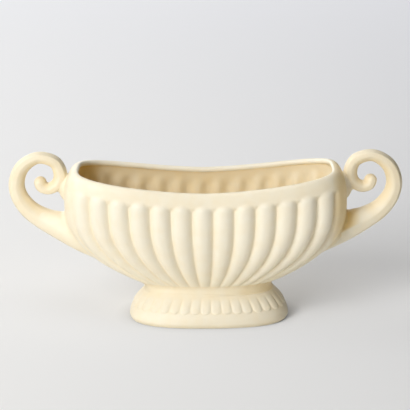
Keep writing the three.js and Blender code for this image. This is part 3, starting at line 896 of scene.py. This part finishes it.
class VASE_OT_stage(bpy.types.Operator):
    """Adds the camera, the floor with its backdrop and the studio lights"""

    bl_idname = "vase.stage"
    bl_label = "Stage"

    def execute(self, context):
        self.camera(context)
        self.backdrop(context)
        self.flag()
        self.lights(context)
        return {"FINISHED"}

    def camera(self, context):
        """Square on to the vase's length, 15.5 degrees above it, from 1.4 m."""
        target = Vector((-0.0005, 0, 0.0965))
        elevation = 0.27
        distance = 1.4
        roll = -0.008
        away = Vector((0, -math.cos(elevation), math.sin(elevation)))
        bpy.ops.object.camera_add(location=target + away * distance)
        camera = context.object
        camera.name = "camera"
        camera.rotation_euler = (math.pi / 2 - elevation, 0, 0)
        camera.rotation_euler.rotate_axis("Z", roll)
        camera.data.lens = 146.14
        camera.data.sensor_width = 36
        context.scene.camera = camera

    def backdrop(self, context):
        """Paper that lies under the vase and bends up into a wall 2.6 m behind it."""
        length, forward, wall, bend = 6, 0.4, 3, 0.9
        deselect()
        bpy.ops.mesh.primitive_plane_add(size=length, location=(0, -forward, 0))
        backdrop = context.object
        backdrop.name = "backdrop"
        bpy.ops.object.transform_apply(location=True)
        bpy.ops.object.mode_set(mode="EDIT")
        self.select_back_edge(backdrop)
        bpy.ops.mesh.extrude_region_move(TRANSFORM_OT_translate={"value": (0, 0, wall)})
        self.select_back_edge(backdrop)
        bpy.ops.mesh.bevel(offset=bend, segments=24, affect="EDGES")
        bpy.ops.object.mode_set(mode="OBJECT")
        bpy.ops.object.shade_smooth()
        backdrop.data.materials.append(self.paper(context.scene.vase_finish))

    def select_back_edge(self, backdrop):
        """Selects the paper's far edge, where it lies on the floor."""
        bpy.ops.mesh.select_all(action="DESELECT")
        shape = bmesh.from_edit_mesh(backdrop.data)
        for edge in shape.edges:
            edge.select = all(v.co.y > 1 and v.co.z < 1 for v in edge.verts)
        shape.select_flush(True)
        bmesh.update_edit_mesh(backdrop.data)

    def flag(self):
        """A black card to the right of the vase, out of view, that keeps the paper's light off its end.
        It casts no shadow from the lamps."""
        place = (0.42, 0.1, 0.42)
        deselect()
        bpy.ops.mesh.primitive_plane_add(size=0.7, location=place, rotation=(0, -math.pi / 2, 0))
        card = bpy.context.object
        card.name = "black_flag"
        card.visible_camera = False
        card.visible_shadow = False
        material = new_material("black_felt")
        felt = add(material.node_tree, "ShaderNodeBsdfDiffuse", {"Color": colour("#191919")})
        add(material.node_tree, "ShaderNodeOutputMaterial", {"Surface": felt.outputs["BSDF"]})
        card.data.materials.append(material)

    def paper(self, finish):
        """White backdrop paper. The camera, reflections and glass see it a little greyer than it is, and
        lifted by a glow, so that the vase's shadow on it stays soft. The glow falls off towards the right
        and the front."""
        material = new_material("paper_backdrop")
        tree = material.node_tree
        real = add(tree, "ShaderNodeBsdfDiffuse", {"Color": finish.paper, "Roughness": 1.0})
        seen = add(tree, "ShaderNodeBsdfDiffuse", {"Color": finish.floor, "Roughness": 1.0})
        place = add(tree, "ShaderNodeTexCoord").outputs["Object"]
        axes = add(tree, "ShaderNodeSeparateXYZ", {"Vector": place}).outputs
        # From 400 mm left to 400 mm right of the vase, and from 200 mm before it to 1750 mm behind it.
        side = add(tree, "ShaderNodeMapRange", {"Value": axes["X"], "From Min": -0.4, "From Max": 0.4})
        far = add(tree, "ShaderNodeMapRange", {"Value": axes["Y"], "From Min": -0.2, "From Max": 1.75})
        near_tone = add(tree, "ShaderNodeMix", {
            "Factor": side.outputs["Result"], "A": finish.near_left_glow, "B": finish.near_right_glow},
            data_type="RGBA")
        far_tone = add(tree, "ShaderNodeMix", {
            "Factor": side.outputs["Result"], "A": finish.far_left_glow, "B": finish.far_right_glow},
            data_type="RGBA")
        glow = add(tree, "ShaderNodeMix", {
            "Factor": far.outputs["Result"], "A": near_tone.outputs["Result"],
            "B": far_tone.outputs["Result"]}, data_type="RGBA")
        # A painted contact shadow: the glow dies away within 14 mm of the foot, where paper and foot touch.
        contact_shadow = add(tree, "ShaderNodeAmbientOcclusion", {"Distance": 0.014}, samples=16).outputs["AO"]
        light = add(tree, "ShaderNodeEmission", {"Color": glow.outputs["Result"], "Strength": contact_shadow})
        lifted = add(tree, "ShaderNodeAddShader", {0: seen.outputs["BSDF"], 1: light.outputs["Emission"]})
        path = add(tree, "ShaderNodeLightPath").outputs
        sight = add(tree, "ShaderNodeMath", {
            0: path["Is Camera Ray"], 1: path["Is Glossy Ray"]}, operation="MAXIMUM")
        sight = add(tree, "ShaderNodeMath", {
            0: sight.outputs[0], 1: path["Is Transmission Ray"]}, operation="MAXIMUM")
        shader = add(tree, "ShaderNodeMixShader", {
            "Fac": sight.outputs[0], 1: real.outputs["BSDF"], 2: lifted.outputs["Shader"]})
        add(tree, "ShaderNodeOutputMaterial", {"Surface": shader.outputs["Shader"]})
        return material

    def lights(self, context):
        """Five softboxes 2.3 m from the vase's middle, most of them on the left, and a faint even sky.
        Each has its turn to the right and its height in degrees, its width in metres and its watts."""
        deselect()
        middle = Vector((0, 0, 0.07))
        distance = 2.3
        for name, turn, height, width, watts in (
            ("key_softbox", -39, 31, 1.1, 28),
            ("high_side_softbox", -112, 42, 1.2, 17),
            ("low_front_fill", -33, 10, 1.2, 16),
            ("low_back_fill", 195, 15, 1.2, 9),
            ("overhead_softbox", 2, 76, 1.6, 16),
        ):
            around, up = math.radians(turn), math.radians(height)
            flat = math.cos(up)
            away = Vector((math.sin(around) * flat, -math.cos(around) * flat, math.sin(up)))
            bpy.ops.object.light_add(type="AREA", location=middle + away * distance)
            lamp = context.object
            lamp.name = name
            lamp.visible_camera = False
            lamp.data.shape = "SQUARE"
            lamp.data.size = width
            lamp.data.energy = watts
            lamp.rotation_euler = away.to_track_quat("Z", "Y").to_euler()
        world = context.scene.world or bpy.data.worlds.new("studio")
        context.scene.world = world
        world.use_nodes = True
        world.node_tree.nodes.clear()
        sky = add(world.node_tree, "ShaderNodeBackground", {"Color": colour("#FFFFFF"), "Strength": 0.03})
        add(world.node_tree, "ShaderNodeOutputWorld", {"Surface": sky.outputs["Background"]})
        context.scene.view_settings.view_transform = "Standard"


class VASE_OT_bowl(bpy.types.Operator):
    """Models the ribbed bowl as one closed casting with a rolled lip"""

    bl_idname = "vase.bowl"
    bl_label = "Bowl"

    def execute(self, context):
        form = BowlForm(context.scene.vase_bowl)
        count = len(form.shares)
        # Rows from the middle of the underside, up the outside, over the lip and down the inside to the
        # middle of the floor.
        outer = steps(0, 1, 44) + steps(1, 2, 58)
        inner = steps(2, 1.1, 26) + steps(1.1, 0, 24) + [0]
        rows = [("base", 0), ("base", 0.6)] + [("outer", level) for level in outer]
        rows += [("lip", turn) for turn in steps(0, 1, 14)] + [("inner", level) for level in inner]
        rows += [("floor", share) for share in (0.75, 0.5, 0.25, 0)]
        floor_dip = 0.0006

        def place(column, row):
            column %= count
            kind, value = rows[row]
            if kind == "outer":
                return form.outside(column, value)
            if kind == "lip":
                return form.lip(column, value)
            if kind == "inner":
                return form.inside(column, value)
            if kind == "base":
                edge = form.outside(column, 0)[0]
                return Vector((edge.x * value, edge.y * value, form.waist_z)), 1.0
            # The inside's floor, in the inside's painted shade.
            edge = form.inside(column, 0)[0]
            dip = floor_dip * (1 - value ** 2)
            return Vector((edge.x * value, edge.y * value, edge.z - dip)), INSIDE_SHADE

        bowl = sheet("bowl_ribbed", count, len(rows) - 1, place)
        dress(bowl, glaze_of("cream_glaze"), "cream_glaze", "bowl")
        return {"FINISHED"}


class VASE_OT_foot(bpy.types.Operator):
    """Models the reeded foot with its bare foot ring and hollow underside"""

    bl_idname = "vase.foot"
    bl_label = "Foot"

    def execute(self, context):
        scene = context.scene
        form = FootForm(scene.vase_foot, scene.vase_bowl.waist_half_length)
        columns = form.columns(14)
        edge_radius = 0.001
        row_height = 0.0005
        heights = [form.height - i * row_height for i in range(int(form.height / row_height))]
        heights = [z for z in heights if z > edge_radius * 1.1]
        ceiling = form.height - form.deck
        # Rows from the middle of the top, down the side, round its edge, over the foot ring and up the
        # hollow to its ceiling's middle.
        rows = [("top", 0), ("top", 0.5)] + [("side", z) for z in heights]
        rows += [("round", turn) for turn in (0, 0.5, 1, math.pi / 2)]
        rows += [("ring", share) for share in (0.2, 0.5, 0.8)]
        rows += [("hollow", share) for share in steps(0, 1, 16) + [1]]
        rows += [("ceiling", share) for share in (0.6, 0.3, 0)]

        def place(column, row):
            angle, across = columns[column % len(columns)]
            kind, value = rows[row]
            if kind == "top":
                spot = form.oval(angle, form.edge(form.height), form.height)
                return Vector((spot.x * value, spot.y * value, form.height)), 1.0
            # Glaze gathers in the top 7 mm, where shade under the bowl's overhang is painted in too, and
            # between the reeds from the band's upper edge on.
            if kind == "side":
                reed = form.reed(across, value)
                waist = WAIST_POOL_AND_SHADE * smooth((value - form.height + 0.007) / 0.006)
                above_band = smooth((value - form.band_height + 0.0011) / 0.002)
                gap = REED_GAP_POOL * (1 - smooth(reed / 0.0006)) * above_band
                return form.oval(angle, form.edge(value) + reed, value), max(BAND_POOL, waist, gap)
            if kind == "round":
                outset = form.edge(edge_radius) - edge_radius * (1 - math.cos(value))
                return form.oval(angle, outset, edge_radius * (1 - math.sin(value))), BAND_POOL
            if kind == "ring":
                return form.oval(angle, -form.ring_width * value, 0), 0.0
            if kind == "hollow":
                inset = form.ring_width + form.hollow_draw * (1 - math.sqrt(1 - value * value))
                return form.oval(angle, -inset, ceiling * value), UNDERSIDE_POOL
            edge = form.oval(angle, -form.ring_width - form.hollow_draw, ceiling)
            return Vector((edge.x * value, edge.y * value, ceiling)), UNDERSIDE_POOL

        foot = sheet("foot_reeded", len(columns), len(rows) - 1, place)
        dress(foot, glaze_of("cream_glaze"), "cream_glaze", "foot")
        foot.data.materials.append(bare_clay(scene.vase_finish.biscuit))
        # The clay is bare on the foot ring, up to 0.4 mm.
        for face in foot.data.polygons:
            bare = all(foot.data.vertices[i].co.z < 0.0004 for i in face.vertices)
            face.material_index = 1 if bare else 0
        return {"FINISHED"}


class VASE_OT_handles(bpy.types.Operator):
    """Models both scroll handles and cuts their roots to the bowl"""

    bl_idname = "vase.handles"
    bl_label = "Handles"

    def execute(self, context):
        scene = context.scene
        bowl = BowlForm(scene.vase_bowl)
        for side, word in SIDES:
            form = HandleForm(scene.vase_handles, bowl, side)
            strap = form.strap(word + "_scroll_handle")
            cut_at_wall(strap, bowl)
            activate(strap)
            bpy.ops.object.shade_smooth()
            self.shade_at_root(strap, bowl, side)
            dress(strap, glaze_of("cream_glaze"), "cream_glaze", word + "_handle")
        return {"FINISHED"}

    def shade_at_root(self, strap, bowl, side):
        """Painted shade in the valley between the strap's upper side and the bowl's end, which the bowl
        keeps from the light; deepest on the right. It fades out from 2 mm to 17 mm off the bowl."""
        spots = []
        for level in steps(0.3, 1.02, 12):
            for column, angle in enumerate(bowl.ring(level)):
                if math.cos(angle) * side > 0.9:
                    spots.append(bowl.outside(column, level)[0])
        bowl_end = nearest(spots)
        for vertex, item in zip(strap.data.vertices, strap.data.attributes["pool"].data):
            close = 1 - smooth((bowl_end.find(vertex.co)[2] - 0.002) / 0.015)
            upper = smooth((vertex.normal.z + 0.2) / 0.5)
            item.value = max(item.value, ROOT_SHADE[side] * close * upper)


class VASE_OT_slip_joints(bpy.types.Operator):
    """Smooths slip into the corners where the castings are luted together"""

    bl_idname = "vase.slip_joints"
    bl_label = "Slip joints"

    def execute(self, context):
        scene = context.scene
        bowl = BowlForm(scene.vase_bowl)
        foot = FootForm(scene.vase_foot, scene.vase_bowl.waist_half_length)
        # The lower joint takes the strap from 2 to 34 % of its length, and the bowl's end up to just over
        # the belly. The upper one takes the strap from 60 % on, and the end from the belly to the lip.
        for side, word in SIDES:
            handle = HandleForm(scene.vase_handles, bowl, side)
            spread, reach, strokes, pool = ROOT_WIPE[side]
            node = word + "_handle_lower_slip_joint"
            root = self.stub(bowl, handle, 0.02, 0.34, spread)
            parts = [node_copy(node), root, self.skin(bowl, side, 0.08, 1.2)]
            self.fillet(word + "_lower_slip", parts, reach, strokes, node, pool)
            node = word + "_handle_upper_slip_joint"
            curl = self.stub(bowl, handle, 0.6, 1, 0)
            parts = [self.web(side), curl, self.skin(bowl, side, 0.9, 1.9)]
            self.fillet(word + "_upper_slip", parts, scene.vase_handles.fillet, 60, node, JOINT_POOL)
        self.waist(bowl, foot)
        return {"FINISHED"}

    def web(self, side):
        """The slip between scroll and rim before it is wiped: a drop that fills the gap."""
        out, up = 0.1182, 0.1135
        half_length, half_depth, half_height = 0.005, 0.0065, 0.012
        deselect()
        bpy.ops.mesh.primitive_uv_sphere_add(segments=48, ring_count=32, radius=1)
        drop = bpy.context.object
        for vertex in drop.data.vertices:
            x, y, z = vertex.co
            vertex.co = Vector((side * out + x * half_length, y * half_depth, up + z * half_height))
        return drop

    def stub(self, bowl, handle, start, stop, spread):
        """A length of the strap, cut off inside the bowl's wall. It widens from front to back towards the
        bowl: not at all 145 mm out, and by the whole spread 100 mm out."""
        spread_end, spread_run = 0.1, 0.045
        strap = handle.strap("stub", start, stop, 80)
        for vertex in strap.data.vertices:
            off = smooth((abs(vertex.co.x) - spread_end) / spread_run)
            vertex.co.y *= 1 + spread * (1 - off)
        cut_at_wall(strap, bowl)
        return strap

    def skin(self, bowl, side, low, high):
        """A patch of the bowl's end wall between two levels, 3 mm thick."""
        columns = [i for i, angle in enumerate(bowl.ring(1)) if math.cos(angle) * side > 0.85]
        if side > 0:
            columns.sort(key=lambda i: math.sin(bowl.ring(1)[i]))
        rows = 90

        def place(column, row):
            return bowl.outside(columns[column], mix(low, high, row / rows))[0], 0.0

        patch = sheet("skin", len(columns) - 1, rows, place)
        apply_modifier(patch, "SOLIDIFY", thickness=0.003, offset=-1)
        return patch

    def fillet(self, name, parts, reach, strokes, node, depth):
        """Melts the parts of a joint into one skin and smooths it into fillets round the first part. From
        3 mm off that part the smoothing dies away within the reach, and there the skin sinks 0.4 mm
        under the castings."""
        slip = nearest([vertex.co for vertex in parts[0].data.vertices])
        piece = join(name, parts)
        apply_modifier(piece, "REMESH", mode="VOXEL", voxel_size=0.0007, use_smooth_shade=True)
        weights = [1 - smooth((slip.find(v.co)[2] - 0.003) / reach) for v in piece.data.vertices]
        group = piece.vertex_groups.new(name="corner")
        for i, weight in enumerate(weights):
            group.add([i], weight, "REPLACE")
        apply_modifier(piece, "SMOOTH", factor=0.5, iterations=strokes, vertex_group="corner")
        inwards = [-vertex.normal.copy() for vertex in piece.data.vertices]
        for vertex, weight, way in zip(piece.data.vertices, weights, inwards):
            vertex.co += way * (0.0004 - 0.0003 * weight)
        piece.vertex_groups.clear()
        # The joint's deep tone, painted shade in the right lower joint's valley, lies only in its upper
        # part, from 68 to 82 mm up.
        thin = min(depth, JOINT_POOL)
        pool = piece.data.attributes.new("pool", "FLOAT", "POINT")
        for vertex, item in zip(piece.data.vertices, pool.data):
            item.value = mix(thin, depth, smooth((vertex.co.z - 0.068) / 0.014))
        dress(piece, glaze_of("glazed_slip"), "glazed_slip", node)

    def waist(self, bowl, foot):
        """The bed of slip between bowl and foot, wiped to a hollow fillet that runs out on both."""
        top, step_down = 0.05, 0.01
        low_z, step_up = foot.height - 0.0035, 0.0008
        rows = 16
        count = len(bowl.shares)
        # Each arc leaves the foot and the bowl along their own slopes, towards the corner where these meet.
        arcs = []
        for column, angle in enumerate(bowl.ring(top)):
            low = foot.oval(angle, foot.edge(low_z), low_z)
            above = foot.oval(angle, foot.edge(low_z + step_up), low_z + step_up)
            high = bowl.outside(column, top)[0]
            under = bowl.outside(column, top - step_down)[0]
            corner = sum(intersect_line_line(low, above, high, under), Vector()) / 2
            arcs.append((low, corner, high))

        def place(column, row):
            low, corner, high = arcs[column % count]
            if row == 0:
                return Vector((foot.shift, 0, low_z)), WAIST_POOL_AND_SHADE
            if row == rows + 2:
                return Vector((foot.shift, 0, high.z)), WAIST_POOL_AND_SHADE
            t = (row - 1) / rows
            spot = low * (1 - t) ** 2 + corner * 2 * t * (1 - t) + high * t * t
            # Painted shade: towards the right, the side turned from the light, the joint is painted twice
            # as deep.
            right = smooth((spot.x - 0.01) / 0.04)
            return spot, WAIST_POOL_AND_SHADE * (1 + right)

        piece = sheet("waist_slip", count, rows + 2, place)
        dress(piece, glaze_of("glazed_slip"), "glazed_slip", "foot_slip_joint")


class VASE_PT_panel(bpy.types.Panel):
    """Lists the pieces of the vase and their sizes"""

    bl_idname = "VASE_PT_panel"
    bl_label = "Mantel Vase"
    bl_space_type = "VIEW_3D"
    bl_region_type = "UI"
    bl_category = "Vase"

    def draw(self, context):
        layout = self.layout
        for title, sizes, operator in (
            ("Bowl", context.scene.vase_bowl, "vase.bowl"),
            ("Foot", context.scene.vase_foot, "vase.foot"),
            ("Handles", context.scene.vase_handles, "vase.handles"),
            ("Finish", context.scene.vase_finish, None),
        ):
            box = layout.box()
            box.label(text=title)
            for name in type(sizes).__annotations__:
                box.prop(sizes, name)
            if operator:
                box.operator(operator)
        layout.operator("vase.slip_joints")
        layout.operator("vase.stage")


CLASSES = (
    VaseBowlSizes, VaseFootSizes, VaseHandleSizes, VaseFinish, VASE_OT_stage, VASE_OT_bowl, VASE_OT_foot,
    VASE_OT_handles, VASE_OT_slip_joints, VASE_PT_panel,
)


def register():
    """Adds the panel, the operators and the sizes that they read."""
    for cls in CLASSES:
        bpy.utils.register_class(cls)
    bpy.types.Scene.vase_bowl = bpy.props.PointerProperty(type=VaseBowlSizes)
    bpy.types.Scene.vase_foot = bpy.props.PointerProperty(type=VaseFootSizes)
    bpy.types.Scene.vase_handles = bpy.props.PointerProperty(type=VaseHandleSizes)
    bpy.types.Scene.vase_finish = bpy.props.PointerProperty(type=VaseFinish)


def unregister():
    """Takes out what register added."""
    for name in ("vase_bowl", "vase_foot", "vase_handles", "vase_finish"):
        delattr(bpy.types.Scene, name)
    for cls in reversed(CLASSES):
        bpy.utils.unregister_class(cls)


def main():
    """Models the vase in its studio."""
    register()
    bpy.ops.vase.stage()
    bpy.ops.vase.bowl()
    bpy.ops.vase.foot()
    bpy.ops.vase.handles()
    bpy.ops.vase.slip_joints()


if __name__ == "__main__":
    main()
